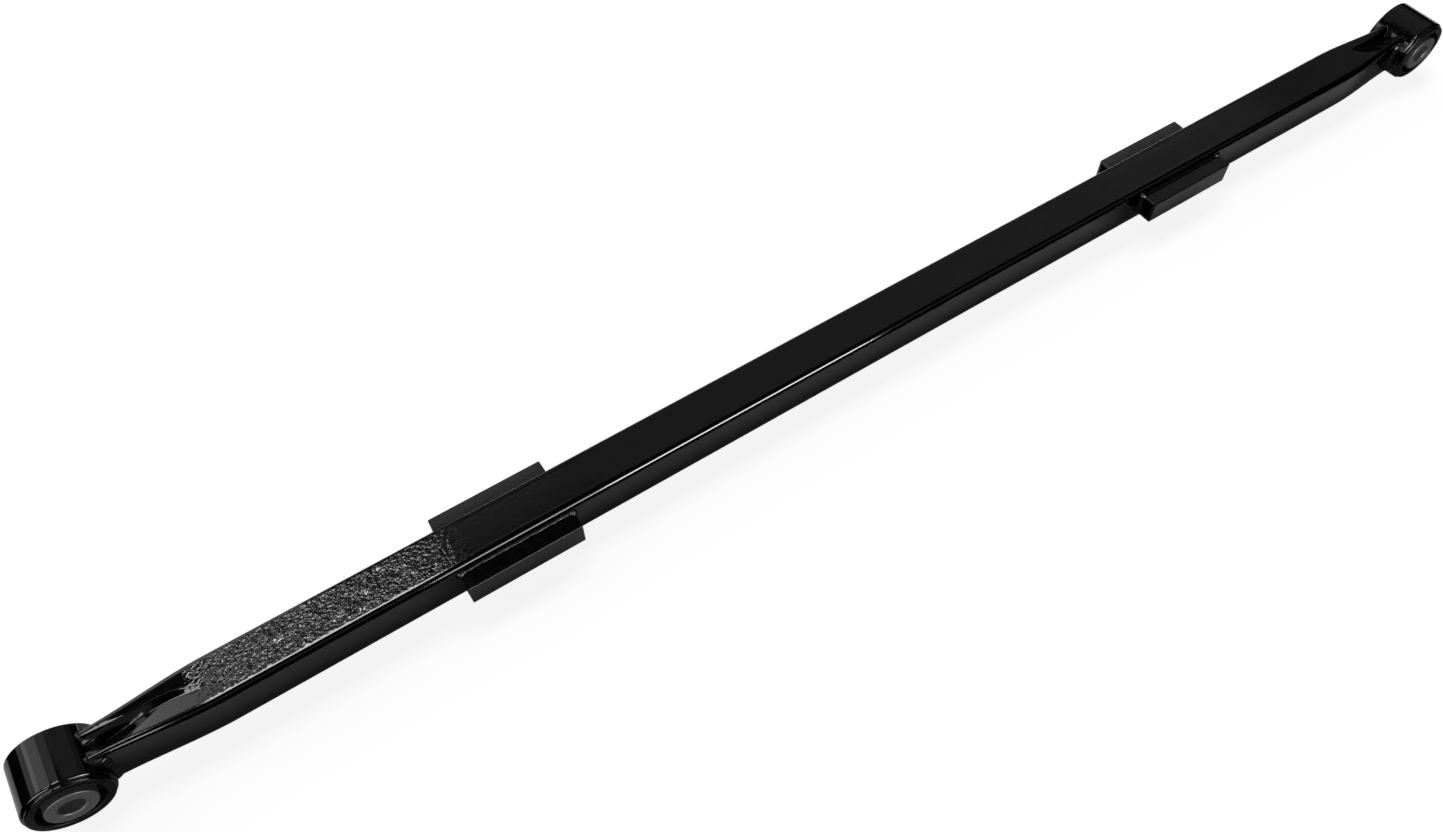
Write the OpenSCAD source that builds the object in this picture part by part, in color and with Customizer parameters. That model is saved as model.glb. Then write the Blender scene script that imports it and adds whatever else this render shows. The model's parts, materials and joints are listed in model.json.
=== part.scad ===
// Suspension link: a rectangular steel tube with a rubber bush in an eye at each end,
// and four short box lugs welded to its sides.
//
// X runs along the link, Y across it along the bush axes, and Z is up.
// The origin lies midway between the two bush axes.
// "Left" is -X, "right" is +X, "front" is -Y and "rear" is +Y.

/* [Link] */
// Distance between the two bush axes
eye_spacing = 1130; // [1000:1:1300]
// Height of the tube's middle above the bush axes
tube_rise = 1; // [0:0.5:2]

/* [Tube] */
// Width of the tube, across Y
tube_w = 33; // [32:0.5:36]
// Height of the tube, along Z
tube_h = 33; // [30:0.5:34]
// Wall thickness of the tube
tube_wall = 3; // [2:0.25:3.5]
// Outside corner radius of the tube
tube_r = 4; // [3.5:0.1:5]
// How far each side wall is pressed in at the bush
pinch_depth = 6.1; // [4:0.1:6.5]
// Distance from the bush axis at which the pinch starts
pinch_start = 94; // [80:1:120]

/* [Eye] */
// Outside diameter of the eye
eye_d = 50; // [49:0.5:54]
// Wall thickness of the eye
eye_wall = 3.2; // [3:0.1:3.4]
// Width of the eye, across Y
eye_w = 35; // [32:0.5:40]

/* [Bush] */
// Diameter of the bolt hole in the inner sleeve
bore_d = 14.4; // [12.2:0.1:16.4]
// Outside diameter of the inner sleeve
sleeve_d = 28.4; // [26:0.1:29]
// Length of the inner sleeve
sleeve_l = 42; // [40:0.5:46]
// Wall thickness of the outer shell
shell_wall = 1.5; // [1:0.1:1.6]

/* [Lugs] */
// Distance from the link's middle to the middle of a lug
lug_x = 285; // [200:1:340]
// Length of a lug, along X
lug_l = 79; // [50:1:90]
// How far a lug stands out from the tube's side
lug_depth = 12.5; // [10:0.5:14]
// Height of a lug, along Z
lug_h = 18; // [14:0.5:19]
// Wall thickness of a lug
lug_wall = 2.3; // [1.5:0.1:3]

/* [Hidden] */

// Colours
paint = [0.07, 0.07, 0.075];
weld_paint = [0.12, 0.12, 0.125];
dark_steel = [0.2, 0.2, 0.21];
rubber_black = [0.04, 0.04, 0.04];
sleeve_grey = [0.5, 0.51, 0.52];

// Smoothness of the turned parts, and of a lug's corners and the weld's turns
round_fn = 96;
corner_fn = 32;

// Tube
half_span = eye_spacing / 2;
half_h = tube_h / 2;
pinch_end = 14;          // distance from the bush axis at which the pinch is complete
ridge_r = 2.6;           // corner radius where the tube is pinched
fold_share = 0.88;       // how much of the spare wall length ends up in the valley
inner_r = 0.8;           // corner radius inside the tube
end_gap = 0.7;           // gap between the coped tube end and the eye, closed by the weld
end_section = 22;        // distance from the bush axis whose section the coped end has
first_ring = 30;         // distance from the bush axis of the first flat ring
ring_steps = 13;         // steps from the first flat ring to the start of the pinch
wall_steps = 12;         // steps across the top wall and the bottom wall
side_steps = 10;         // steps down each side wall
corner_steps = 4;        // steps round each corner

// Eye weld
weld_leg = 3.4;          // size of the weld on the eye
weld_run = 4.4;          // size of the weld along the tube
weld_bulge = 0.7;        // how far the weld's face stands out
weld_lift = 0.15;        // gap between the weld's underside and the tube

// Bush
edge_chamfer = 1.3;      // chamfer on the eye's outside edges
flange_inset = 1.5;      // distance from the eye's outside to the flange's edge
flange_r = eye_d / 2 - flange_inset;
flange_t = 1.8;          // thickness of the shell's front flange
flange_chamfer = 0.6;    // chamfer on the flange's edge
running_gap = 0.05;      // radial gap between the sleeve and the rubber
press_gap = 0.02;        // radial gap between the eye and the shell
lip_r = 18.5;            // radius at which the rubber's groove ends and its lip starts
groove_depth = 6;        // depth of the groove below the eye's face
lip_skin = 0.5;          // thickness of rubber on the flange's face
lip_run = 1.6;           // distance from the flange's edge to the end of that rubber's face
skin_run = 1.1;          // distance from the flange's edge to the end of that rubber
lip_slope = 0.4;         // half the width of the slope at the lip's inner edge
front_lip_drop = 1.6;    // depth of the front lip's slope below the flange's face
rear_lip_drop = 1.2;     // depth of the rear lip's slope below the eye's face
groove_slope = 2;        // width of the groove's outer slope
groove_chamfer = 1;      // chamfer where the groove's floor meets the sleeve
sleeve_chamfer = 0.6;    // chamfer on the sleeve's outside edges
bore_chamfer = 0.7;      // chamfer at the mouths of the bolt hole

// Lugs
lug_z = 1.05;            // height of a lug's middle above the bush axes
lug_r = 0.8;             // outside corner radius of a lug
lug_inner_r = 0.5;       // inside corner radius of a lug
lug_gap = 0.05;          // gap between a lug and the tube's side, closed by the weld
fillet_leg = 3.2;        // size of the weld round a lug
fillet_bulge = 0.5;      // how far that weld's face stands out
fillet_steps = 6;        // steps across that weld's face

shell_or = eye_d / 2 - eye_wall - press_gap;
shell_ir = shell_or - shell_wall;
sleeve_r = sleeve_d / 2;
rubber_ir = sleeve_r + running_gap;
eye_half = eye_w / 2;

// How complete the pinch is at a distance from the bush axis: 0 is none, 1 is full
function pinch(s) =
    let (u = min(1, max(0, (s - pinch_end) / (pinch_start - pinch_end))))
    1 - u * u * (3 - 2 * u);

// Half the tube's width at a distance from the bush axis
function half_w(s) = tube_w / 2 - pinch_depth * pinch(s);

// Corner radius at a distance from the bush axis
function corner_r(s) = tube_r - (tube_r - ridge_r) * pinch(s);

// Half the width of the top wall between its corners
function half_flat(s) = half_w(s) - corner_r(s);

// Depth of the valley in the top and bottom walls.
// The wall keeps its length, so the width lost in the pinch folds inwards.
function valley(s) =
    let (flat = half_flat(s))
    let (folded = flat + pinch_depth * pinch(s))
    fold_share * sqrt(folded * folded - flat * flat);

// Height of the top wall's outside at y, and its slope there
function wall_z(s, y) = half_h - valley(s) * pow(cos(90 * y / half_flat(s)), 2);
function wall_slope(s, y) =
    valley(s) * PI / (2 * half_flat(s)) * sin(180 * y / half_flat(s));

// Height of the top wall's inside at y, one wall thickness below its outside
function wall_inside_z(s, y) =
    wall_z(s, y) - tube_wall * sqrt(1 + pow(wall_slope(s, y), 2));

// Points round a closed section: top wall, rear side, bottom wall, front side
function section(flat, straight, r, tops) = concat(
    [for (k = [0:wall_steps]) [across(flat, k), tops[k]]],
    [for (k = [1:corner_steps]) corner(flat, straight, r, 90 - 90 * k / corner_steps)],
    [for (k = [1:side_steps - 1]) [flat + r, down(straight, k)]],
    [for (k = [0:corner_steps - 1]) corner(flat, -straight, r, -90 * k / corner_steps)],
    [for (k = [0:wall_steps]) [-across(flat, k), -tops[k]]],
    [for (k = [1:corner_steps]) corner(-flat, -straight, r, 270 - 90 * k / corner_steps)],
    [for (k = [1:side_steps - 1]) [-flat - r, -down(straight, k)]],
    [for (k = [0:corner_steps - 1]) corner(-flat, straight, r, 180 - 90 * k / corner_steps)]
);
function across(flat, k) = -flat + 2 * flat * k / wall_steps;
function down(straight, k) = straight - 2 * straight * k / side_steps;
function corner(y, z, r, angle) = [y + r * cos(angle), z + r * sin(angle)];

// Outside and inside of the tube at a distance from the bush axis
function outside(s) =
    let (flat = half_flat(s))
    section(flat, half_h - corner_r(s), corner_r(s),
        [for (k = [0:wall_steps]) wall_z(s, across(flat, k))]);
function inside(s) =
    let (flat = half_w(s) - tube_wall - inner_r)
    section(flat, half_h - tube_wall - inner_r, inner_r,
        [for (k = [0:wall_steps]) wall_inside_z(s, across(flat, k))]);

// Distance along X from the bush axis to the eye's surface, at a height in the tube's section
function cope(z) = sqrt(pow(eye_d / 2 + end_gap, 2) - pow(z + tube_rise, 2));

// A ring of points across the tube, flat or coped round the eye, at the left or right end
function flat_ring(end, s, points) =
    [for (p = points) [end * (half_span - s), p[0], p[1] + tube_rise]];
function coped_ring(end, points) =
    [for (p = points) [end * (half_span - cope(p[1])), p[0], p[1] + tube_rise]];

ring_points = 2 * (wall_steps + 1) + 4 * corner_steps + 2 * (side_steps - 1);
ring_gap = (pinch_start - first_ring) / ring_steps;
ring_places = [for (k = [0:ring_steps]) first_ring + k * ring_gap];

// Two triangles for each cell between ring a and ring b
function band(a, b) = [
    for (i = [0:ring_points - 1])
        let (j = (i + 1) % ring_points)
        each [
            [a + i, b + i, b + j],
            [a + i, b + j, a + j]
        ]
];

// Rounded rectangle with true arcs
module rounded_rect(w, h, r) {
    square([w - 2 * r, h], center = true);
    square([w, h - 2 * r], center = true);
    for (x = [-1, 1], y = [-1, 1])
        translate([x * (w / 2 - r), y * (h / 2 - r)])
            circle(r = r, $fn = corner_fn);
}

// Turns a profile of [radius, y] points about the bush axis at one end
module turned(end, points) {
    translate([end * half_span, 0, 0])
        rotate([-90, 0, 0])
            rotate_extrude($fn = round_fn)
                polygon(points);
}

// Tube pinched at both ends, where its top and bottom walls fold inwards
module beam_tube() {
    outer_rings = concat(
        [coped_ring(-1, outside(end_section))],
        [for (s = ring_places) flat_ring(-1, s, outside(s))],
        [for (k = [ring_steps:-1:0]) flat_ring(1, ring_places[k], outside(ring_places[k]))],
        [coped_ring(1, outside(end_section))]
    );
    inner_rings = concat(
        [coped_ring(-1, inside(end_section))],
        [for (s = ring_places) flat_ring(-1, s, inside(s))],
        [for (k = [ring_steps:-1:0]) flat_ring(1, ring_places[k], inside(ring_places[k]))],
        [coped_ring(1, inside(end_section))]
    );
    rings = len(outer_rings);
    first_inner = rings * ring_points;
    last_outer = (rings - 1) * ring_points;
    last_inner = first_inner + last_outer;
    color(paint)
        polyhedron(
            points = [
                for (ring = outer_rings) each ring,
                for (ring = inner_rings) each ring
            ],
            faces = concat(
                [for (k = [0:rings - 2]) each band(k * ring_points, (k + 1) * ring_points)],
                [
                    for (k = [0:rings - 2])
                        each band(
                            first_inner + (k + 1) * ring_points,
                            first_inner + k * ring_points
                        )
                ],
                band(first_inner, 0),
                band(last_outer, last_inner)
            )
        );
}

// Weld bead round the joint between the tube's coped end and the eye
module eye_weld(end) {
    root = outside(end_section);
    ways = section(0, 0, 1, [for (k = [0:wall_steps]) 1]);
    toe = [for (i = [0:ring_points - 1]) root[i] + weld_leg * ways[i]];
    lifted = [for (i = [0:ring_points - 1]) root[i] + weld_lift * ways[i]];
    root_ring = coped_ring(end, lifted);
    toe_ring = coped_ring(end, toe);
    next = outside(first_ring);
    flat_end = flat_ring(end, first_ring, next + weld_lift * ways);
    run_ring = [
        for (i = [0:ring_points - 1])
            let (t = weld_run / (first_ring - cope(lifted[i][1])))
            root_ring[i] + t * (flat_end[i] - root_ring[i])
    ];
    face_ring = [
        for (i = [0:ring_points - 1])
            (toe_ring[i] + run_ring[i]) / 2
                + weld_bulge * [-end, ways[i][0], ways[i][1]] / sqrt(2)
    ];
    n = ring_points;
    faces = concat(band(0, n), band(n, 2 * n), band(2 * n, 3 * n), band(3 * n, 0));
    color(weld_paint)
        polyhedron(
            points = concat(root_ring, toe_ring, face_ring, run_ring),
            faces = end < 0 ? faces : [for (f = faces) [f[0], f[2], f[1]]]
        );
}

// Short thick-walled ring that holds the bush
module eye(end) {
    outer = eye_d / 2;
    inner = outer - eye_wall;
    color(paint)
        turned(end, [
            [inner, -eye_half],
            [outer - edge_chamfer, -eye_half],
            [outer, -eye_half + edge_chamfer],
            [outer, eye_half - edge_chamfer],
            [outer - edge_chamfer, eye_half],
            [inner, eye_half]
        ]);
}

// Pressed-in outer shell of the bush, with a flange against the eye's front face
module bush_shell(end) {
    face = -eye_half - flange_t;
    color(dark_steel)
        turned(end, [
            [shell_ir, face],
            [flange_r - flange_chamfer, face],
            [flange_r, face + flange_chamfer],
            [flange_r, -eye_half],
            [shell_or, -eye_half],
            [shell_or, eye_half],
            [shell_ir, eye_half]
        ]);
}

// Rubber between the shell and the sleeve, with a groove and a lip at each face
module bush_rubber(end) {
    front = -eye_half - flange_t;
    groove = eye_half - groove_depth;
    color(rubber_black)
        turned(end, [
            [rubber_ir, -groove - groove_chamfer],
            [rubber_ir + groove_chamfer, -groove],
            [lip_r - groove_slope, -groove],
            [lip_r - lip_slope, front + front_lip_drop],
            [lip_r + lip_slope, front - lip_skin],
            [flange_r - lip_run, front - lip_skin],
            [flange_r - skin_run, front],
            [shell_ir, front],
            [shell_ir, eye_half],
            [lip_r + lip_slope, eye_half],
            [lip_r - lip_slope, eye_half - rear_lip_drop],
            [lip_r - groove_slope, groove],
            [rubber_ir + groove_chamfer, groove],
            [rubber_ir, groove + groove_chamfer]
        ]);
}

// Inner steel sleeve, clamped by the bolt, which turns as the rubber twists
module bush_sleeve(end) {
    half = sleeve_l / 2;
    bore_r = bore_d / 2;
    color(sleeve_grey)
        turned(end, [
            [bore_r, -half + bore_chamfer],
            [bore_r + bore_chamfer, -half],
            [sleeve_r - sleeve_chamfer, -half],
            [sleeve_r, -half + sleeve_chamfer],
            [sleeve_r, half - sleeve_chamfer],
            [sleeve_r - sleeve_chamfer, half],
            [bore_r + bore_chamfer, half],
            [bore_r, half - bore_chamfer]
        ]);
}

// Short length of rectangular tube on the link's side, open at both ends
module lug(end, side) {
    color(paint)
        translate([end * lug_x, side * (tube_w / 2 + lug_gap + lug_depth / 2), lug_z])
            rotate([90, 0, 90])
                linear_extrude(height = lug_l, center = true)
                    difference() {
                        rounded_rect(lug_depth, lug_h, lug_r);
                        rounded_rect(
                            lug_depth - 2 * lug_wall,
                            lug_h - 2 * lug_wall,
                            lug_inner_r
                        );
                    }
}

// Section of the weld round a lug: x away from the lug, y away from the tube's side
module fillet_section() {
    polygon(concat(
        [[0, 0]],
        [
            for (k = [0:fillet_steps])
                let (t = k / fillet_steps)
                let (bulge = fillet_bulge * sin(180 * t) / sqrt(2))
                [fillet_leg * (1 - t) + bulge, fillet_leg * t + bulge]
        ]
    ));
}

// One straight run of that weld along Z, with its middle at Z = 0
module fillet_run(length) {
    linear_extrude(height = length, center = true)
        fillet_section();
}

// Weld bead all round a lug, against the tube's side
module lug_weld(end, side) {
    color(weld_paint)
        translate([end * lug_x, side * (tube_w / 2 + lug_gap), lug_z])
            scale([1, side, 1]) {
                for (x = [-1, 1])
                    scale([x, 1, 1])
                        translate([lug_l / 2, 0, 0])
                            fillet_run(lug_h);
                for (z = [-1, 1])
                    scale([1, 1, z])
                        translate([0, 0, lug_h / 2])
                            rotate([0, -90, 0])
                                fillet_run(lug_l);
                for (x = [-1, 1], z = [-1, 1])
                    scale([x, 1, z])
                        translate([lug_l / 2, 0, lug_h / 2])
                            rotate([-90, 0, 0])
                                rotate_extrude(angle = -90, $fn = corner_fn)
                                    fillet_section();
            }
}

beam_tube();
eye(-1);  // eye_left
eye(1);  // eye_right
eye_weld(-1);  // eye_weld_left
eye_weld(1);  // eye_weld_right
bush_shell(-1);  // bush_shell_left
bush_shell(1);  // bush_shell_right
bush_rubber(-1);  // bush_rubber_left
bush_rubber(1);  // bush_rubber_right
bush_sleeve(-1);  // bush_sleeve_left
bush_sleeve(1);  // bush_sleeve_right
lug(-1, -1);  // lug_front_left
lug(-1, 1);  // lug_rear_left
lug(1, -1);  // lug_front_right
lug(1, 1);  // lug_rear_right
lug_weld(-1, -1);  // lug_weld_front_left
lug_weld(-1, 1);  // lug_weld_rear_left
lug_weld(1, -1);  // lug_weld_front_right
lug_weld(1, 1);  // lug_weld_rear_right
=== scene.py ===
"""Gloss black suspension link: a pinched box tube with a rubber bush in an eye at each end, and four lugs.

The CAD frame gives the places and outside sizes. Shape functions work in millimetres and meshes are in
metres. X runs along the link, Y across it along the bush axes, and Z is up. "Front" is -Y, and the bush
flanges face it.
"""
import json
import math

import bpy
import numpy as np
from mathutils import Matrix, Vector


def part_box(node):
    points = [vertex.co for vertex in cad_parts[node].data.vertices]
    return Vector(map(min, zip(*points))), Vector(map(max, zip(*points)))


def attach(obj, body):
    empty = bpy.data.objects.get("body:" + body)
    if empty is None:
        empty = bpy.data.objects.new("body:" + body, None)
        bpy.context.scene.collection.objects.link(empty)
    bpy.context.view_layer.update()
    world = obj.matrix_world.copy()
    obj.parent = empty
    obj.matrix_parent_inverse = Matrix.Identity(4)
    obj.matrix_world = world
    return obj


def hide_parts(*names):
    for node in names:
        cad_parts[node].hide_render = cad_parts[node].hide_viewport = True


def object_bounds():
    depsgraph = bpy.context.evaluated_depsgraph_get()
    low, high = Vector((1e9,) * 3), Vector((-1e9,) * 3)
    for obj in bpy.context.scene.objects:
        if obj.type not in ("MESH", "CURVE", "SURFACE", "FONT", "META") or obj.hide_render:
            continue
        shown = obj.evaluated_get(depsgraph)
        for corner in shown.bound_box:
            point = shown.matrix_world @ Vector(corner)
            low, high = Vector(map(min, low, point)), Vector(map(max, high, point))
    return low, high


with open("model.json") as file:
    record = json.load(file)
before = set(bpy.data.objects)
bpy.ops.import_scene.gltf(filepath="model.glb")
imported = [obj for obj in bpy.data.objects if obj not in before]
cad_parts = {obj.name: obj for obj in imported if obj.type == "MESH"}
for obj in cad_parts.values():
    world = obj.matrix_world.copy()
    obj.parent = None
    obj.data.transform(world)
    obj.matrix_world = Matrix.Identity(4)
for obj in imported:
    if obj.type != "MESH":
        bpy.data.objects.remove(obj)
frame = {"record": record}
cad_low, cad_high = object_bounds()

MM = 0.001

# ---------------------------------------------------------------- sizes from the frame, in millimetres


def box_mm(node):
    low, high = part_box(node)
    return np.array(low) / MM, np.array(high) / MM


eye_low, eye_high = box_mm("eye_right")
EYE_R = (eye_high[2] - eye_low[2]) / 2
EYE_HALF = (eye_high[1] - eye_low[1]) / 2
HALF_SPAN = (eye_low[0] + eye_high[0]) / 2
tube_low, tube_high = box_mm("beam_tube")
TUBE_HALF_W = (tube_high[1] - tube_low[1]) / 2
TUBE_HALF_H = (tube_high[2] - tube_low[2]) / 2
TUBE_RISE = (tube_high[2] + tube_low[2]) / 2
shell_low, shell_high = box_mm("bush_shell_right")
FLANGE_R = (shell_high[2] - shell_low[2]) / 2
FLANGE_FACE = -shell_low[1]
LIP_FACE = -box_mm("bush_rubber_right")[0][1]
sleeve_low, sleeve_high = box_mm("bush_sleeve_right")
SLEEVE_R = (sleeve_high[2] - sleeve_low[2]) / 2
SLEEVE_HALF = (sleeve_high[1] - sleeve_low[1]) / 2
BORE_R = [m for m in frame["record"]["mounts"] if m["name"] == "bolt_hole_right"][0]["dims"]["r_mm"]

# ---------------------------------------------------------------- sizes that the frame's boxes don't show

TUBE_WALL = 3.0
TUBE_CORNER_R = 4.0
RIDGE_CORNER_R = 2.6         # the tube's corner radius where it is pinched
INNER_CORNER_R = 0.8         # the tube's corner radius inside
EYE_WALL = 3.2
PRESS_GAP = 0.02             # between an eye and its shell, and between the shell and its rubber
SHELL_WALL = 1.5
SHELL_OUTER_R = EYE_R - EYE_WALL - PRESS_GAP
SHELL_INNER_R = SHELL_OUTER_R - SHELL_WALL
RUNNING_GAP = 0.05           # between a sleeve and its rubber
LUG_WALL = 2.3
LUG_CORNER_R = 0.8

# Pinch of the tube's ends. PINCH_FULL to FIRST_RING are distances from the bush axis.
PINCH_DEPTH = 6.1            # how far each side wall is pressed in
PINCH_FULL = 14.0
PINCH_START = 94.0
END_SECTION = 22.0           # whose section the coped end has
FIRST_RING = 30.0
COPE_GAP = 0.1               # between the coped end and the eye

# Valley folded into the top wall, at the left end (-1) and the right end (1).
# start: its distance from the bush axis. growth: power with which it deepens towards the eye.
# sweep: how far its closed end curves to the front. flatten: how much shallower its rear flank is there.
VALLEY_DEPTH = 9.8
VALLEYS = {
    -1: {"start": 103.0, "growth": 1.6, "sweep": 16.5, "flatten": 1.2},
    1: {"start": 68.0, "growth": 1.1, "sweep": 0.0, "flatten": 0.0},
}
RIM_Y = 5.0                  # where the rear flank starts near the eye
SWEEP_FROM = 58.0            # distance from the bush axis beyond which the rim curves to the front
SWEEP_LENGTH = 45.0
SWEEP_GROWTH = 2.4
REAR_SLOPE = 1.4             # steepness of the rear flank near the eye
FLATTEN_RANGE = (30, 88)     # distances from the bush axis between which it grows shallower
FRONT_FLANK_LEAST = 1.0      # least widths of the two flanks
REAR_FLANK_LEAST = 0.5
BOTTOM_ROUNDING = 0.2
RIM_ROUNDING = 0.12          # away from the eye
EYE_ROUNDING = 1.3           # how much more the rim is rounded by the eye
EYE_ROUNDING_RANGE = (18, 50)
LEAN = 0.08                  # slope of the ridge behind the valley, down towards the rim
LEAN_RUN = (19, 6)           # distances inside the valley's start where it is full and where it begins
EYE_LEAN = 0.12              # how much steeper the ridge slopes by the eye
EYE_LEAN_RANGE = (18, 46)
CORNER_BLEND = 0.9           # width beside each corner over which the wall rises to meet it


# ---------------------------------------------------------------- small helpers


def smoothstep(low, high, value):
    t = np.clip((value - low) / (high - low), 0.0, 1.0)
    return t * t * (3 - 2 * t)


CREASE_ANGLE = math.radians(38)


def make_mesh(name, points_mm, faces):
    """A mesh object from points in millimetres, smooth except where faces meet at a sharper angle."""
    mesh = bpy.data.meshes.new(name)
    mesh.from_pydata([tuple(p) for p in np.asarray(points_mm) * MM], [], faces)
    mesh.validate()
    mesh.polygons.foreach_set("use_smooth", [True] * len(mesh.polygons))
    mesh.set_sharp_from_angle(angle=CREASE_ANGLE)
    piece = bpy.data.objects.new(name, mesh)
    bpy.context.scene.collection.objects.link(piece)
    weighted = piece.modifiers.new("even_shading", "WEIGHTED_NORMAL")
    weighted.keep_sharp = True
    return piece


def loft(rings):
    """Points and quads through a list of rings of equal length, with the last ring joined to the first."""
    count = len(rings[0])
    points = np.concatenate(rings)
    faces = []
    for k in range(len(rings)):
        a = k * count
        b = (k + 1) % len(rings) * count
        for i in range(count):
            j = (i + 1) % count
            faces.append((a + i, b + i, b + j, a + j))
    return points, faces


def add_piece(name, points, faces, body, node, material):
    piece = make_mesh(name, points, faces)
    piece.data.materials.append(material)
    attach(piece, body)
    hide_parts(node)


# ---------------------------------------------------------------- tube


def pinch(s):
    """How complete the pinch is at a distance from the bush axis."""
    return 1 - smoothstep(PINCH_FULL, PINCH_START, s)


def half_width(s):
    return TUBE_HALF_W - PINCH_DEPTH * pinch(s)


def corner_radius(s):
    return TUBE_CORNER_R - (TUBE_CORNER_R - RIDGE_CORNER_R) * pinch(s)


def flat_half(s):
    return half_width(s) - corner_radius(s)


def valley_depth(s, end):
    """How far the top wall is folded in at the valley's bottom."""
    shape = VALLEYS[end]
    share = np.clip((shape["start"] - s) / (shape["start"] - PINCH_FULL), 0.0, 1.0)
    return VALLEY_DEPTH * share ** shape["growth"]


def rim_y(s, end):
    """Where the rear flank starts. A swept valley's closed end curves from there to the front corner."""
    sweep = np.clip((s - SWEEP_FROM) / SWEEP_LENGTH, 0.0, 1.0) ** SWEEP_GROWTH
    return RIM_Y - VALLEYS[end]["sweep"] * sweep


def bottom_y(s, end):
    """Where the valley is deepest. A flattened rear flank is shallow at first and steep near the eye."""
    steepness = REAR_SLOPE - VALLEYS[end]["flatten"] * smoothstep(*FLATTEN_RANGE, s)
    return rim_y(s, end) - valley_depth(s, end) / steepness


def soft_least(a, b, softness):
    return 0.5 * (a + b - np.sqrt((a - b) ** 2 + softness**2))


def soft_floor(a, softness):
    return 0.5 * (a + np.sqrt(a**2 + softness**2))


def wall_drop(s, y, end):
    """How far the top wall is folded in, at a distance from the bush axis and a place across the tube."""
    flat = flat_half(s)
    start = VALLEYS[end]["start"]
    depth = valley_depth(s, end)
    bottom = np.clip(bottom_y(s, end), -flat + FRONT_FLANK_LEAST, flat)
    rim = np.maximum(rim_y(s, end), bottom + REAR_FLANK_LEAST)
    front_flank = depth * (y + flat) / (bottom + flat)
    rear_flank = depth * (rim - y) / (rim - bottom)
    rounding = RIM_ROUNDING + EYE_ROUNDING * (1 - smoothstep(*EYE_ROUNDING_RANGE, s))
    fold = soft_floor(soft_least(front_flank, rear_flank, BOTTOM_ROUNDING), rounding)
    lean = LEAN * (1 - smoothstep(start - LEAN_RUN[0], start - LEAN_RUN[1], s))
    lean = lean + EYE_LEAN * (1 - smoothstep(*EYE_LEAN_RANGE, s))
    hinged = np.clip((y + flat) / (bottom + flat), 0.0, 1.0)
    ridge = lean * np.clip(flat - np.maximum(y, rim), 0.0, None) * hinged
    edge = smoothstep(0.0, CORNER_BLEND, flat - np.abs(y))
    return (fold + ridge) * edge


WALL_STEPS = 76
CROWDING = 0.35              # how strongly the points across a wall crowd towards its corners
CORNER_STEPS = 8
SIDE_PLACES = np.array([0.985, 0.8, 0.55, 0.28, 0.0, -0.28, -0.55, -0.8, -0.985])
SLOPE_STEP = 0.02            # step over which the wall's slope is measured
INSIDE_LEAST = 0.6           # keeps the folded top and bottom walls apart inside
KINK_MOST = 0.4              # how far one point inside may stand above its neighbours
KINK_PASSES = 6


def inner_wall(s, across, top, end):
    """Heights of the top wall's inside: one wall thickness below its outside, with its kinks eased."""
    slope = wall_drop(s, across + SLOPE_STEP, end) - wall_drop(s, across - SLOPE_STEP, end)
    slope = slope / (2 * SLOPE_STEP)
    top = np.minimum(top - TUBE_WALL * np.sqrt(1 + slope**2), TUBE_HALF_H - TUBE_WALL)
    top = np.maximum(top, INSIDE_LEAST)
    for _ in range(KINK_PASSES):
        top[1:-1] = np.minimum(top[1:-1], (top[:-2] + top[2:]) / 2 + KINK_MOST)
    return top


def section(s, end, inner=False):
    """Points round the tube at a distance from the bush axis, as (y, z) from the tube's own middle."""
    if inner:
        r = INNER_CORNER_R
        flat = half_width(s) - TUBE_WALL - r
        straight = TUBE_HALF_H - TUBE_WALL - r
    else:
        r = corner_radius(s)
        flat = flat_half(s)
        straight = TUBE_HALF_H - r
    crowded = np.sin(np.linspace(-math.pi / 2, math.pi / 2, WALL_STEPS + 1)) * CROWDING
    across = (crowded + np.linspace(-1, 1, WALL_STEPS + 1) * (1 - CROWDING)) * flat
    top = TUBE_HALF_H - wall_drop(s, across, end)
    if inner:
        top = inner_wall(s, across, top, end)
    quarter = np.radians(np.linspace(90, 0, CORNER_STEPS + 1))
    cy = flat + r * np.cos(quarter)
    cz = straight + r * np.sin(quarter)
    half = [np.column_stack([across, top])]
    half.append(np.column_stack([cy[1:], cz[1:]]))
    half.append(np.column_stack([np.full(len(SIDE_PLACES), flat + r), SIDE_PLACES * straight]))
    half.append(np.column_stack([cy[1:][::-1], -cz[1:][::-1]]))
    one = np.concatenate(half)
    return np.concatenate([one, -one])


def cope(z):
    """Distance along X from the bush axis to the coped end, at a height in the tube's section."""
    return np.sqrt((EYE_R + COPE_GAP) ** 2 - (z + TUBE_RISE) ** 2)


def end_ring(end, share, inner=False):
    """A ring between the coped end (share 0) and the first flat ring (share 1)."""
    start = cope(section(END_SECTION, end, inner)[:, 1])
    s = END_SECTION + share * (FIRST_RING - END_SECTION)
    shape = section(s, end, inner)
    x = end * (HALF_SPAN - (start + share * (FIRST_RING - start)))
    return np.column_stack([x, shape[:, 0], shape[:, 1] + TUBE_RISE])


def flat_ring(end, s, inner=False):
    shape = section(s, end, inner)
    x = np.full(len(shape), end * (HALF_SPAN - s))
    return np.column_stack([x, shape[:, 0], shape[:, 1] + TUBE_RISE])


END_RINGS = 6                # rings between each coped end and the first flat ring

# Spacing of the flat rings, after the distance from the bush axis up to which it holds
RING_SPACING = ((108, 1.0), (140, 8), (HALF_SPAN, 25))


def tube_rings(inner):
    shares = np.linspace(0, 1, END_RINGS + 1)[:-1]
    places = []
    start = FIRST_RING
    for stop, spacing in RING_SPACING:
        places.extend(np.arange(start, stop, spacing))
        start = stop
    left = [end_ring(-1, t, inner) for t in shares] + [flat_ring(-1, s, inner) for s in places]
    right = [flat_ring(1, s, inner) for s in places[::-1]] + [end_ring(1, t, inner) for t in shares[::-1]]
    return left + right


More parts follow.
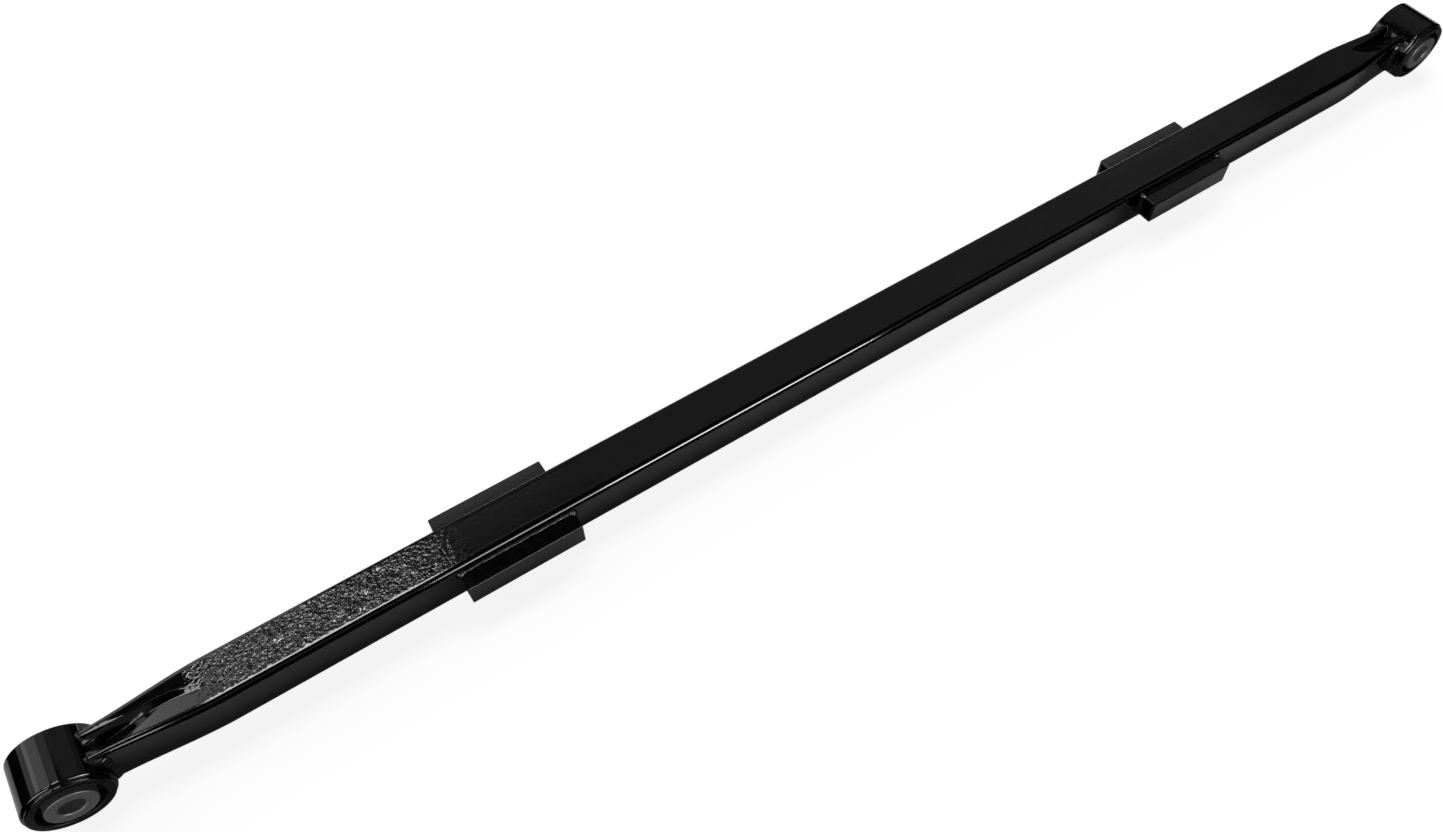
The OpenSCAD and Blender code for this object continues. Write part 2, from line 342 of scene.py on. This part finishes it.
def build_tube(material):
    outer = tube_rings(False)
    inner = tube_rings(True)
    points, faces = loft(outer + inner[::-1])
    add_piece("link_tube", points, faces, "link", "beam_tube", material)


# ---------------------------------------------------------------- turned parts

ROUND_STEPS = 144            # steps round a turned part
EYE_ROUND_STEPS = 192        # the same for an eye
ARC_STEP = math.radians(11)  # about the turn between two points of a rounded corner
ARC_LEAST = 3                # fewest steps in a rounded corner
CORNER_SHARE = 0.49          # largest share of an edge that a rounded corner takes


def rounded(profile):
    """Replaces each corner of a closed profile by an arc.

    profile holds (radius, y, rounding) in millimetres.
    """
    out = []
    count = len(profile)
    for i in range(count):
        here = np.array(profile[i][:2], float)
        before = np.array(profile[i - 1][:2], float) - here
        after = np.array(profile[(i + 1) % count][:2], float) - here
        rounding = profile[i][2]
        if rounding <= 0:
            out.append(here)
            continue
        u = before / np.linalg.norm(before)
        v = after / np.linalg.norm(after)
        angle = math.acos(np.clip(np.dot(u, v), -1, 1))
        reach = rounding / math.tan(angle / 2)
        reach = min(reach, CORNER_SHARE * np.linalg.norm(before), CORNER_SHARE * np.linalg.norm(after))
        r = reach * math.tan(angle / 2)
        middle = here + (u + v) / np.linalg.norm(u + v) * r / math.sin(angle / 2)
        start = here + u * reach - middle
        stop = here + v * reach - middle
        a0 = math.atan2(start[1], start[0])
        turn = (math.atan2(stop[1], stop[0]) - a0 + math.pi) % (2 * math.pi) - math.pi
        steps = max(ARC_LEAST, int(abs(turn) / ARC_STEP))
        for k in range(steps + 1):
            a = a0 + turn * k / steps
            out.append(middle + r * np.array([math.cos(a), math.sin(a)]))
    return np.array(out)


def turned(profile, end, segments=ROUND_STEPS):
    """Rings of a closed (radius, y) profile turned about the bush axis at one end."""
    rings = []
    r = profile[:, 0]
    for k in range(segments):
        a = 2 * math.pi * k / segments
        x = end * HALF_SPAN + r * math.cos(a)
        rings.append(np.column_stack([x, profile[:, 1], r * math.sin(a)]))
    return loft(rings)


def build_eye(end, name, material):
    inner = EYE_R - EYE_WALL
    outside_edge = 1.7
    bore_edge = 0.3
    profile = rounded([
        (inner, -EYE_HALF, bore_edge),
        (EYE_R, -EYE_HALF, outside_edge),
        (EYE_R, EYE_HALF, outside_edge),
        (inner, EYE_HALF, bore_edge),
    ])
    points, faces = turned(profile, end, EYE_ROUND_STEPS)
    add_piece("eye_ring_" + name, points, faces, "link", "eye_" + name, material)


FLANGE_STEP = 0.6            # how far the flange's face lies below its raised rim
FLANGE_RIM = 0.9             # width of that rim


def build_shell(end, name, material):
    rim_inside = FLANGE_R - FLANGE_RIM
    profile = rounded([
        (SHELL_INNER_R, -FLANGE_FACE + FLANGE_STEP, 0.2),
        (rim_inside, -FLANGE_FACE + FLANGE_STEP, 0.5),
        (rim_inside, -FLANGE_FACE, 0.25),
        (FLANGE_R, -FLANGE_FACE, 0.45),
        (FLANGE_R, -EYE_HALF, 0.3),
        (SHELL_OUTER_R, -EYE_HALF, 0.0),
        (SHELL_OUTER_R, EYE_HALF, 0.3),
        (SHELL_INNER_R, EYE_HALF, 0.3),
    ])
    points, faces = turned(profile, end)
    add_piece("bush_flange_" + name, points, faces, "link", "bush_shell_" + name, material)


def build_rubber(end, name, material):
    bore = SLEEVE_R + RUNNING_GAP
    outside = SHELL_INNER_R - PRESS_GAP
    crest = FLANGE_R - 1.0                       # outer edge of the front lip
    lip = 18.5                                   # inner edge of both lips
    groove = EYE_HALF - 3.5                      # floor of the groove inside each lip
    slope = lip - 1.4                            # foot of the groove's outer slope
    foot = 1.2                                   # chamfer where the groove meets the sleeve
    behind_lip = -FLANGE_FACE + FLANGE_STEP + PRESS_GAP
    rear = EYE_HALF - 0.2
    profile = rounded([
        (bore, -groove - foot, 0.3),
        (bore + foot, -groove, 0.9),
        (slope, -groove, 1.2),
        (lip, -LIP_FACE, 1.0),
        (crest, -LIP_FACE, 1.4),
        (crest, behind_lip, 0.2),
        (outside, behind_lip, 0.1),
        (outside, rear, 0.3),
        (lip + 0.2, rear, 0.8),
        (slope, groove, 1.2),
        (bore + foot, groove, 0.9),
        (bore, groove + foot, 0.3),
    ])
    points, faces = turned(profile, end)
    add_piece("bush_lip_" + name, points, faces, "link", "bush_rubber_" + name, material)


def build_sleeve(end, name, material):
    bore_chamfer = 0.7
    edge_chamfer = 0.5
    bore_edge = 0.15
    outside_edge = 0.3
    mouth = BORE_R + bore_chamfer
    profile = rounded([
        (BORE_R, -SLEEVE_HALF + bore_chamfer, bore_edge),
        (mouth, -SLEEVE_HALF, bore_edge),
        (SLEEVE_R - edge_chamfer, -SLEEVE_HALF, outside_edge),
        (SLEEVE_R, -SLEEVE_HALF + edge_chamfer, outside_edge),
        (SLEEVE_R, SLEEVE_HALF - edge_chamfer, outside_edge),
        (SLEEVE_R - edge_chamfer, SLEEVE_HALF, outside_edge),
        (mouth, SLEEVE_HALF, bore_edge),
        (BORE_R, SLEEVE_HALF - bore_chamfer, bore_edge),
    ])
    points, faces = turned(profile, end)
    add_piece("inner_sleeve_" + name, points, faces, "sleeve_" + name,
              "bush_sleeve_" + name, material)


# ---------------------------------------------------------------- lugs


def rounded_rect(w, h, r, steps=8):
    """Points round a rectangle with round corners."""
    out = []
    for side_a, side_b, first in ((1, 1, 0), (-1, 1, 90), (-1, -1, 180), (1, -1, 270)):
        for k in range(steps + 1):
            a = math.radians(first + 90 * k / steps)
            out.append((side_a * (w / 2 - r) + r * math.cos(a), side_b * (h / 2 - r) + r * math.sin(a)))
    return np.array(out)


LUG_EDGE = 0.3               # chamfer on a lug's cut ends
LUG_INNER_EDGE = 0.6         # how much of that its inside has
LUG_INNER_R = 0.6
LUG_RINGS = 12


def build_lug(name, material):
    low, high = box_mm("lug_" + name)
    middle = (low + high) / 2
    length, depth, height = high - low
    x_half = length / 2

    def ring(x, cut, hollow):
        if hollow:
            shape = rounded_rect(depth - 2 * LUG_WALL + 2 * cut, height - 2 * LUG_WALL + 2 * cut, LUG_INNER_R)
        else:
            shape = rounded_rect(depth - 2 * cut, height - 2 * cut, LUG_CORNER_R)
        return np.column_stack([np.full(len(shape), x), shape[:, 0], shape[:, 1]]) + middle

    along = np.linspace(-x_half + LUG_EDGE, x_half - LUG_EDGE, LUG_RINGS)
    inner_cut = LUG_EDGE * LUG_INNER_EDGE
    rings = [ring(-x_half, LUG_EDGE, False)] + [ring(x, 0, False) for x in along]
    rings += [ring(x_half, LUG_EDGE, False), ring(x_half, inner_cut, True)]
    rings += [ring(x, 0, True) for x in along[::-1]] + [ring(-x_half, inner_cut, True)]
    points, faces = loft(rings)
    add_piece("lug_box_" + name, points, faces, "link", "lug_" + name, material)


# ---------------------------------------------------------------- welds


def ripple(distance, pitch, seed):
    """Height of a weld's ripples along its run, from 0 to 1: rounded scales, uneven in length and height."""
    # Waves of unlike length keep the scales from repeating
    wander = 0.35 * np.sin(distance * 0.71 + seed) + 0.25 * np.sin(distance * 1.93 + 2 * seed)
    phase = (distance / pitch + wander) % 1.0
    scale = np.sqrt(np.clip(1 - (2 * phase - 1) ** 2, 0, 1))
    return scale * (0.75 + 0.25 * np.sin(distance * 0.37 + 3 * seed))


TINY = 1e-9                  # keeps a division by a length from failing
BEAD_STEPS = 8               # steps across a bead's face
RIPPLE_LIFT = 0.24           # height of a bead's ripples
RIPPLE_LAG = 0.35            # share of the pitch by which a ripple's middle trails its edges


def bead(roots, side_a, side_b, leg_a, leg_b, bulge, pitch, seed):
    """A closed weld bead. roots are the corner's points, side_a and side_b the ways along its surfaces."""
    roots = np.asarray(roots)
    gaps = np.linalg.norm(np.roll(roots, -1, axis=0) - roots, axis=1)
    along = np.concatenate([[0], np.cumsum(gaps)[:-1]])
    rings = []
    for i in range(len(roots)):
        a = np.asarray(side_a[i])
        b = np.asarray(side_b[i])
        # The bead's size varies a little along its run
        grow = 0.93 + 0.07 * math.sin(along[i] * 0.53 + seed) + 0.05 * math.sin(along[i] * 1.31 + seed)
        la = leg_a[i] * grow
        lb = leg_b[i] * grow
        outward = a + b
        outward = outward / max(np.linalg.norm(outward), TINY)
        ring = [roots[i]]
        for k in range(BEAD_STEPS + 1):
            t = k / BEAD_STEPS
            arch = math.sin(math.pi * t)
            lag = RIPPLE_LAG * pitch * arch
            lift = ripple(np.array([along[i] - lag]), pitch, seed)[0]
            swell = bulge + RIPPLE_LIFT * (lift - 0.5)
            ring.append(roots[i] + a * la * (1 - t) + b * lb * t + outward * arch * swell)
        rings.append(np.array(ring))
    return loft(rings)


def resample(points, spacing):
    """Evenly spaced places round a closed line: the point before each, and the share of the way on."""
    points = np.asarray(points)
    gaps = np.linalg.norm(np.roll(points, -1, axis=0) - points, axis=1)
    total = np.concatenate([[0], np.cumsum(gaps)])
    places = np.linspace(0, total[-1], int(total[-1] / spacing), endpoint=False)
    index = np.searchsorted(total, places, side="right") - 1
    return index, (places - total[index]) / np.maximum(gaps[index], TINY)


def pick(values, index, share):
    """Values at the places that resample found."""
    values = np.asarray(values)
    share = share[:, None] if values.ndim == 2 else share
    return values[index] * (1 - share) + values[(index + 1) % len(values)] * share


def unit(vectors):
    return vectors / np.maximum(np.linalg.norm(vectors, axis=1, keepdims=True), TINY)


# Weld between a coped tube end and its eye. It is small on the ridges.
EYE_LEG = 2.4                # size of the weld on the eye
EYE_LEG_LESS = 2.0           # how much smaller that is on a ridge
AHEAD_SHARE = 0.9            # place of the ring that the weld runs towards, as end_ring counts it
EYE_RUN = 0.75               # share of the way to that ring that the weld covers
EYE_RUN_LESS = 0.55          # how much smaller that is on a ridge
RIDGE_RANGE = (13.2, 15.0)   # heights from the tube's middle between which a ridge begins
NORMAL_PASSES = 5            # times the directions across the weld are evened out
TOE_GAP = 0.02               # how much further from the eye the weld's toe is than the coped end
EYE_BEAD = {"bulge": 0.35, "pitch": 2.3}
EYE_BEAD_SPACING = 0.45


def build_eye_weld(end, name, material):
    shape = section(END_SECTION, end)
    root = end_ring(end, 0)
    ahead = end_ring(end, AHEAD_SHARE)
    gap = np.roll(shape, -1, axis=0) - np.roll(shape, 1, axis=0)
    normal = unit(np.column_stack([-gap[:, 1], gap[:, 0]]))
    for _ in range(NORMAL_PASSES):
        normal = unit(normal + np.roll(normal, 1, axis=0) + np.roll(normal, -1, axis=0))
    on_ridge = smoothstep(*RIDGE_RANGE, np.abs(shape[:, 1]))
    leg = EYE_LEG - EYE_LEG_LESS * on_ridge
    away = shape + normal * leg[:, None]
    toe_x = end * (HALF_SPAN - cope(away[:, 1]) - TOE_GAP)
    toe = np.column_stack([toe_x, away[:, 0], away[:, 1] + TUBE_RISE])
    index, share = resample(root, EYE_BEAD_SPACING)
    roots = pick(root, index, share)
    toe = pick(toe, index, share)
    ahead = pick(ahead, index, share)
    leg_a = np.linalg.norm(toe - roots, axis=1)
    leg_b = np.linalg.norm(ahead - roots, axis=1) * pick(EYE_RUN - EYE_RUN_LESS * on_ridge, index, share)
    points, faces = bead(roots, unit(toe - roots), unit(ahead - roots), leg_a, leg_b,
                         **EYE_BEAD, seed=1.7 + end)
    add_piece("eye_bead_" + name, points, faces, "link", "eye_weld_" + name, material)


# Weld round a lug
LUG_LEG = 0.3                # its size along the lug, as a share of the CAD weld's
LUG_LEG_MORE = 0.55          # how much larger that share is at the lug's ends
LUG_END_RANGE = (0.9, 1.0)   # shares of the lug's half length between which its end begins
LUG_BEAD = {"bulge": 0.15, "pitch": 2.6}
LUG_BEAD_SPACING = 0.55


def build_lug_weld(name, material, seed):
    low, high = box_mm("lug_" + name)
    weld_high = box_mm("lug_weld_" + name)[1]
    side = 1 if high[1] > 0 else -1
    wall = low[1] if side > 0 else high[1]
    middle = (low + high) / 2
    path = rounded_rect(high[0] - low[0], high[2] - low[2], LUG_CORNER_R, steps=10)
    shape = np.column_stack([path[:, 0] + middle[0], np.full(len(path), wall), path[:, 1] + middle[2]])
    index, share = resample(shape, LUG_BEAD_SPACING)
    roots = pick(shape, index, share)
    ahead = np.roll(roots, -1, axis=0) - np.roll(roots, 1, axis=0)
    out = unit(np.column_stack([ahead[:, 2], np.zeros(len(roots)), -ahead[:, 0]]))
    away = np.tile([0.0, float(side), 0.0], (len(roots), 1))
    at_end = smoothstep(*LUG_END_RANGE, np.abs(roots[:, 0] - middle[0]) / (high[0] - low[0]) * 2)
    legs = (weld_high[2] - high[2]) * (LUG_LEG + LUG_LEG_MORE * at_end)
    points, faces = bead(roots, out, away, legs, legs, **LUG_BEAD, seed=seed)
    if side > 0:
        faces = [tuple(reversed(f)) for f in faces]
    add_piece("lug_bead_" + name, points, faces, "link", "lug_weld_" + name, material)


# ---------------------------------------------------------------- materials


SHADER_INPUTS = {
    "colour": "Base Color",
    "roughness": "Roughness",
    "metallic": "Metallic",
    "normal": "Normal",
    "ior": "IOR",
    "specular": "Specular IOR Level",
    "glow_colour": "Emission Color",
    "glow": "Emission Strength",
}


class Nodes:
    """Short ways to build a material's node tree."""

    def __init__(self, name):
        self.material = bpy.data.materials.new(name)
        self.material.use_nodes = True
        self.tree = self.material.node_tree
        self.shader = self.tree.nodes["Principled BSDF"]
        self.place = self.tree.nodes.new("ShaderNodeTexCoord").outputs["Object"]

    def new(self, kind, **values):
        """A node whose properties, or else inputs of the same name, have these values."""
        node = self.tree.nodes.new(kind)
        for key, value in values.items():
            if hasattr(node, key):
                setattr(node, key, value)
            else:
                node.inputs[key.replace("_", " ").title()].default_value = value
        return node

    def link(self, source, target):
        self.tree.links.new(source, target)

    def noise(self, size_mm, detail, roughness=0.5, stretch=None):
        """Noise whose cells are about size_mm across."""
        node = self.new("ShaderNodeTexNoise", scale=1.0 / (size_mm * MM), detail=detail, roughness=roughness)
        place = self.place
        if stretch:
            mapping = self.new("ShaderNodeMapping")
            mapping.inputs["Scale"].default_value = stretch
            self.link(place, mapping.inputs["Vector"])
            place = mapping.outputs["Vector"]
        self.link(place, node.inputs["Vector"])
        return node.outputs["Fac"]

    def ramp(self, value, stops):
        """Maps a value through (position, grey) or (position, colour) stops."""
        node = self.new("ShaderNodeValToRGB")
        while len(node.color_ramp.elements) < len(stops):
            node.color_ramp.elements.new(0.5)
        for element, (position, grey) in zip(node.color_ramp.elements, stops):
            element.position = position
            element.color = (grey, grey, grey, 1) if np.isscalar(grey) else (*grey, 1)
        self.link(value, node.inputs["Fac"])
        return node.outputs["Color"]

    def math(self, operation, a, b):
        node = self.new("ShaderNodeMath", operation=operation)
        for socket, value in zip(node.inputs, (a, b)):
            if isinstance(value, float):
                socket.default_value = value
            else:
                self.link(value, socket)
        return node.outputs[0]

    def between(self, axis, stops_mm):
        """1 between the middle two of four places along an axis, fading to 0 at the outer two."""
        split = self.new("ShaderNodeSeparateXYZ")
        self.link(self.place, split.inputs[0])
        shares = []
        for zero, one in (stops_mm[:2], stops_mm[:1:-1]):
            node = self.new("ShaderNodeMapRange", interpolation_type="SMOOTHSTEP")
            node.inputs["From Min"].default_value = zero * MM
            node.inputs["From Max"].default_value = one * MM
            self.link(split.outputs[axis], node.inputs["Value"])
            shares.append(node.outputs["Result"])
        return self.math("MULTIPLY", shares[0], shares[1])

    def bump(self, height, depth_mm, normal=None):
        """A bump on top of the one that normal already has."""
        node = self.new("ShaderNodeBump")
        node.inputs["Strength"].default_value = 1.0
        node.inputs["Distance"].default_value = depth_mm * MM
        self.link(height, node.inputs["Height"])
        if normal is not None:
            self.link(normal, node.inputs["Normal"])
        return node.outputs["Normal"]

    def set(self, **values):
        """Sets or links the shader's own inputs."""
        for key, value in values.items():
            socket = self.shader.inputs[SHADER_INPUTS[key]]
            if isinstance(value, bpy.types.NodeSocket):
                self.link(value, socket)
            else:
                socket.default_value = value


# Places along X and Y between which the tube's skin is wrinkled, in millimetres
LEATHER_X = (-490.0, -472.0, -345.0, -308.0)
LEATHER_Y = (-13.0, -11.5, 12.5, 14.0)
SWELL_DEPTH = 0.8            # depth of the broad waves under the wrinkles


def wrinkled(n, normal, depth_mm):
    """Adds the coarse wrinkled skin of thick paint over mill scale."""
    where = n.math("MULTIPLY", n.between("X", LEATHER_X), n.between("Y", LEATHER_Y))
    swell = n.math("SUBTRACT", n.noise(9.0, detail=1.0), 0.5)
    normal = n.bump(n.math("MULTIPLY", swell, where), SWELL_DEPTH, normal)
    folds = n.noise(2.2, detail=1.5, stretch=(0.8, 1.0, 1.0))
    wrinkle = n.math("SUBTRACT", n.ramp(folds, [(0.38, 0.0), (0.62, 1.0)]), 0.5)
    return n.bump(n.math("MULTIPLY", wrinkle, where), depth_mm, normal)


def paint_material(name, peel, leather=0.0, pits=0.0, haze=(0.05, 0.09), specular=0.5):
    """Gloss black paint.

    peel is the strength of its orange peel, leather and pits the depths in millimetres of a wrinkled skin
    and of fine pits, and haze the least and most roughness.
    """
    n = Nodes(name)
    tone = n.noise(9.0, detail=4.0)
    cloud = n.noise(3.5, detail=5.0, roughness=0.6)
    wave = n.bump(n.noise(34.0, detail=1.0), 0.05 * peel)
    normal = n.bump(n.noise(2.6, detail=2.0, roughness=0.45), 0.018 * peel, wave)
    if leather > 0:
        normal = wrinkled(n, normal, leather)
    if pits > 0:
        normal = n.bump(n.noise(0.8, detail=4.0, roughness=0.6), pits, normal)
    n.set(
        colour=n.ramp(tone, [(0.35, (0.0022, 0.0022, 0.0024)), (0.7, (0.0045, 0.0045, 0.0048))]),
        roughness=n.ramp(cloud, [(0.3, haze[0]), (0.75, haze[1])]),
        normal=normal,
        ior=1.5,
        specular=specular,
    )
    return n.material


def rubber_material():
    """Dull black rubber with a fine grainy skin."""
    n = Nodes("bush_rubber_black")
    skin = n.bump(n.noise(0.45, detail=3.0), 0.01)
    n.set(
        colour=n.ramp(n.noise(4.0, detail=4.0), [(0.3, 0.002), (0.75, 0.005)]),
        roughness=n.ramp(n.noise(1.2, detail=4.0), [(0.3, 0.34), (0.8, 0.5)]),
        normal=n.bump(n.noise(3.0, detail=2.0), 0.03, skin),
        specular=0.2,
    )
    return n.material


def sleeve_material():
    """Dull grey phosphated steel with a fine crystalline grain."""
    n = Nodes("phosphated_steel")
    cloud = n.noise(1.6, detail=6.0, roughness=0.65)
    n.set(
        colour=n.ramp(cloud, [(0.25, (0.14, 0.141, 0.143)), (0.75, (0.27, 0.272, 0.276))]),
        roughness=n.ramp(n.noise(0.6, detail=4.0), [(0.3, 0.42), (0.75, 0.62)]),
        normal=n.bump(n.noise(0.3, detail=3.0, roughness=0.7), 0.012),
        metallic=0.1,
    )
    return n.material


# ---------------------------------------------------------------- build

tube_paint = paint_material("gloss_black_tube", peel=1.0, leather=0.26)
eye_paint = paint_material("gloss_black_eyes", peel=0.6, haze=(0.045, 0.075))
lug_paint = paint_material("gloss_black_lugs", peel=0.6)
weld_paint = paint_material("gloss_black_weld", peel=0.8, pits=0.01, haze=(0.26, 0.36), specular=0.3)
shell_paint = paint_material("black_flange", peel=0.4)
rubber = rubber_material()
steel = sleeve_material()

build_tube(tube_paint)
for end, side_name in ((-1, "left"), (1, "right")):
    build_eye(end, side_name, eye_paint)
    build_shell(end, side_name, shell_paint)
    build_rubber(end, side_name, rubber)
    build_sleeve(end, side_name, steel)
    build_eye_weld(end, side_name, weld_paint)
for number, lug_name in enumerate(("front_left", "rear_left", "front_right", "rear_right")):
    build_lug(lug_name, lug_paint)
    build_lug_weld(lug_name, weld_paint, 0.9 + 1.3 * number)


# ---------------------------------------------------------------- floor and cards, in metres


def matte(name, grey, glow):
    n = Nodes(name)
    n.set(colour=(grey, grey, grey, 1), roughness=0.9, specular=0.0, glow_colour=(1, 1, 1, 1), glow=glow)
    return n.material


def plain_plane(name, low, high, z, material):
    """A level rectangle from its lowest to its highest (x, y)."""
    mesh = bpy.data.meshes.new(name)
    corners = [(low[0], low[1], z), (high[0], low[1], z), (high[0], high[1], z), (low[0], high[1], z)]
    mesh.from_pydata(corners, [], [(0, 1, 2, 3)])
    mesh.materials.append(material)
    piece = bpy.data.objects.new(name, mesh)
    bpy.context.scene.collection.objects.link(piece)
    return piece


# The floor glows a little, so that it stays pale and even. It is not mirrored in the paint.
floor_z = cad_low[2]
floor = plain_plane("floor", (-20, -20), (20, 20), floor_z, matte("pale_floor", grey=0.30, glow=0.87))
floor.visible_glossy = False
floor.visible_shadow = False
floor.visible_diffuse = False

# Grey cards under the link, which its sides mirror and the camera doesn't see. They end a little way in
# front of it, so that the top of each side mirrors nothing and has a dark band below its upper edge.
CARD_DROP = 0.0002           # how far the cards lie below the floor
CARD_REACH = 0.022           # how far the long card reaches in front of the tube
LUG_CARD_REACH = 0.036       # how far the front lugs' cards reach in front of the tube
tube_front = -TUBE_HALF_W * MM
card_grey = matte("card_grey", grey=0.85, glow=0.0)
cards = {
    "card_long": ((-0.74, tube_front - CARD_REACH), (2.0, 0.8)),
    "card_left_lug": ((-0.330, tube_front - LUG_CARD_REACH), (-0.236, tube_front - CARD_REACH)),
    "card_right_lug": ((0.255, tube_front - LUG_CARD_REACH), (0.368, tube_front - CARD_REACH)),
}
for card_name, (card_low, card_high) in cards.items():
    card = plain_plane(card_name, card_low, card_high, floor_z - CARD_DROP, card_grey)
    card.visible_camera = False


# ---------------------------------------------------------------- lights, in metres


def softbox(name, middle, half_a, half_b, radiance, shown_by="all"):
    """A rectangular light from its middle and its two half edges. It shines towards half_a x half_b.

    A light shown_by "gloss" is only mirrored, and one shown_by "matte" is only scattered.
    """
    a = Vector(half_a)
    b = Vector(half_b)
    data = bpy.data.lights.new(name, "AREA")
    data.shape = "RECTANGLE"
    data.size = 2 * a.length
    data.size_y = 2 * b.length
    data.energy = radiance * math.pi * data.size * data.size_y
    light = bpy.data.objects.new(name, data)
    bpy.context.scene.collection.objects.link(light)
    x_axis = a.normalized()
    z_axis = -x_axis.cross(b).normalized()
    y_axis = z_axis.cross(x_axis)
    light.matrix_world = Matrix.Translation(middle) @ Matrix((x_axis, y_axis, z_axis)).transposed().to_4x4()
    light.visible_diffuse = shown_by != "gloss"
    light.visible_glossy = shown_by != "matte"


# Dim ceiling panels, mirrored by the tube's flat top, with brighter strips for the lugs' tops
softbox("ceiling_dim", (2.175, 2.6, 3.0), (1.725, 0, 0), (0, -2.3, 0), 0.2)
softbox("ceiling_back", (0.125, 3.31, 3.0), (0.325, 0, 0), (0, -1.59, 0), 0.2)
softbox("ceiling_front", (0.125, 1.0, 3.0), (0.325, 0, 0), (0, -0.13, 0), 0.2)
softbox("lug_light_left", (0.09, 1.95, 2.99), (0.25, 0, 0), (0, -0.06, 0), 0.6)
softbox("lug_light_right", (3.35, 1.95, 2.99), (0.35, 0, 0), (0, -0.06, 0), 0.4)
softbox("ceiling_far", (5.7, 2.6, 3.0), (1.8, 0, 0), (0, -2.3, 0), 0.11)
softbox("overhead_mid", (-0.75, 2.25, 3.0), (0.55, 0, 0), (0, -0.75, 0), 0.5)
softbox("overhead_left", (-2.68, 2.25, 3.0), (1.52, 0, 0), (0, -0.75, 0), 1.2)

# Small bright ceiling panels, mirrored by the wrinkled skin and the folded valley
softbox("hot_strip_near", (-0.6, 0.3, 2.99), (0.4, 0, 0), (0, -0.5, 0), 14.0, "gloss")
softbox("hot_strip_far", (-1.7, 0.4, 2.99), (0.45, 0, 0), (0, -0.45, 0), 7.0, "gloss")
softbox("hot_strip_mid", (-0.56, 1.38, 2.98), (0.22, 0, 0), (0, -0.13, 0), 16.0, "gloss")

# Upright panels at the left and behind
softbox("left_wall", (-3.5, 2.2, 2.4), (0, 1.4, 0), (0, 0, 1.1), 0.6)
softbox("rear_left", (-2.3, 3.0, 1.6), (1.7, 0, 0), (0, 0, 1.3), 1.4)

# Upright strips in front, mirrored as the light line along the tube's front corner
softbox("front_strip", (0.29, -1.2, 0.24), (0.28, 0, 0), (0, 0, -0.23), 22.0, "gloss")
softbox("front_strip_dim", (-0.145, -1.2, 0.24), (0.155, 0, 0), (0, 0, -0.23), 9.0, "gloss")
softbox("front_left", (-1.77, -1.44, 0.68), (0.57, -0.48, 0), (0, 0, -0.5), 6.0, "gloss")

# Fill in front, for the view from behind, and a low strip behind the link
softbox("front_fill", (0, -3.2, 1.9), (4.0, 0, 0), (0, 0, -1.2), 0.2, "gloss")
softbox("rear_strip", (2.35, 2.5, 0.08), (2.45, 0, 0), (0, 0, 0.07), 3.0)

# Soft keys, which light the cards and the dull sleeves but aren't mirrored
softbox("front_key", (-1.0, -2.2, 0.6), (1.6, 0, 0), (0, 0, -0.5), 1.4, "matte")
softbox("top_key", (0.8, 0.95, 2.6), (1.6, 0, 0), (0, -0.4, 0), 3.7, "matte")
softbox("back_key", (0.9, 2.9, 1.5), (2.2, 0, 0), (0, -0.3, 0.58), 2.6, "matte")

# A white surround behind the floor, which lights nothing
world = bpy.data.worlds.new("studio")
world.use_nodes = True
world.node_tree.nodes["Background"].inputs["Color"].default_value = (1, 1, 1, 1)
bpy.context.scene.world = world          # before its visibility, which Blender updates through the scene
world.cycles_visibility.diffuse = False
world.cycles_visibility.glossy = False
world.cycles_visibility.transmission = False
world.cycles_visibility.scatter = False

# ---------------------------------------------------------------- camera, in metres and radians

# It looks from the front left, well above the link
CAMERA_PLACE = Vector((-0.36385, -0.38294, 0.65302))
CAMERA_AZIMUTH = 0.5604      # from +Y towards +X
CAMERA_DOWN = 0.9675
CAMERA_ROLL = -0.0261
camera_data = bpy.data.cameras.new("camera")
camera_data.sensor_width = 36.0
camera_data.lens = 29.506
camera_data.clip_start = 0.01
camera = bpy.data.objects.new("camera", camera_data)
bpy.context.scene.collection.objects.link(camera)
look = Vector((
    math.sin(CAMERA_AZIMUTH) * math.cos(CAMERA_DOWN),
    math.cos(CAMERA_AZIMUTH) * math.cos(CAMERA_DOWN),
    -math.sin(CAMERA_DOWN),
))
right = look.cross(Vector((0, 0, 1))).normalized()
up = right.cross(look)
right_rolled = right * math.cos(CAMERA_ROLL) + up * math.sin(CAMERA_ROLL)
up_rolled = up * math.cos(CAMERA_ROLL) - right * math.sin(CAMERA_ROLL)
turned_to = Matrix((right_rolled, up_rolled, -look)).transposed().to_4x4()
camera.matrix_world = Matrix.Translation(CAMERA_PLACE) @ turned_to
bpy.context.scene.camera = camera
bpy.context.scene.view_settings.view_transform = "Standard"
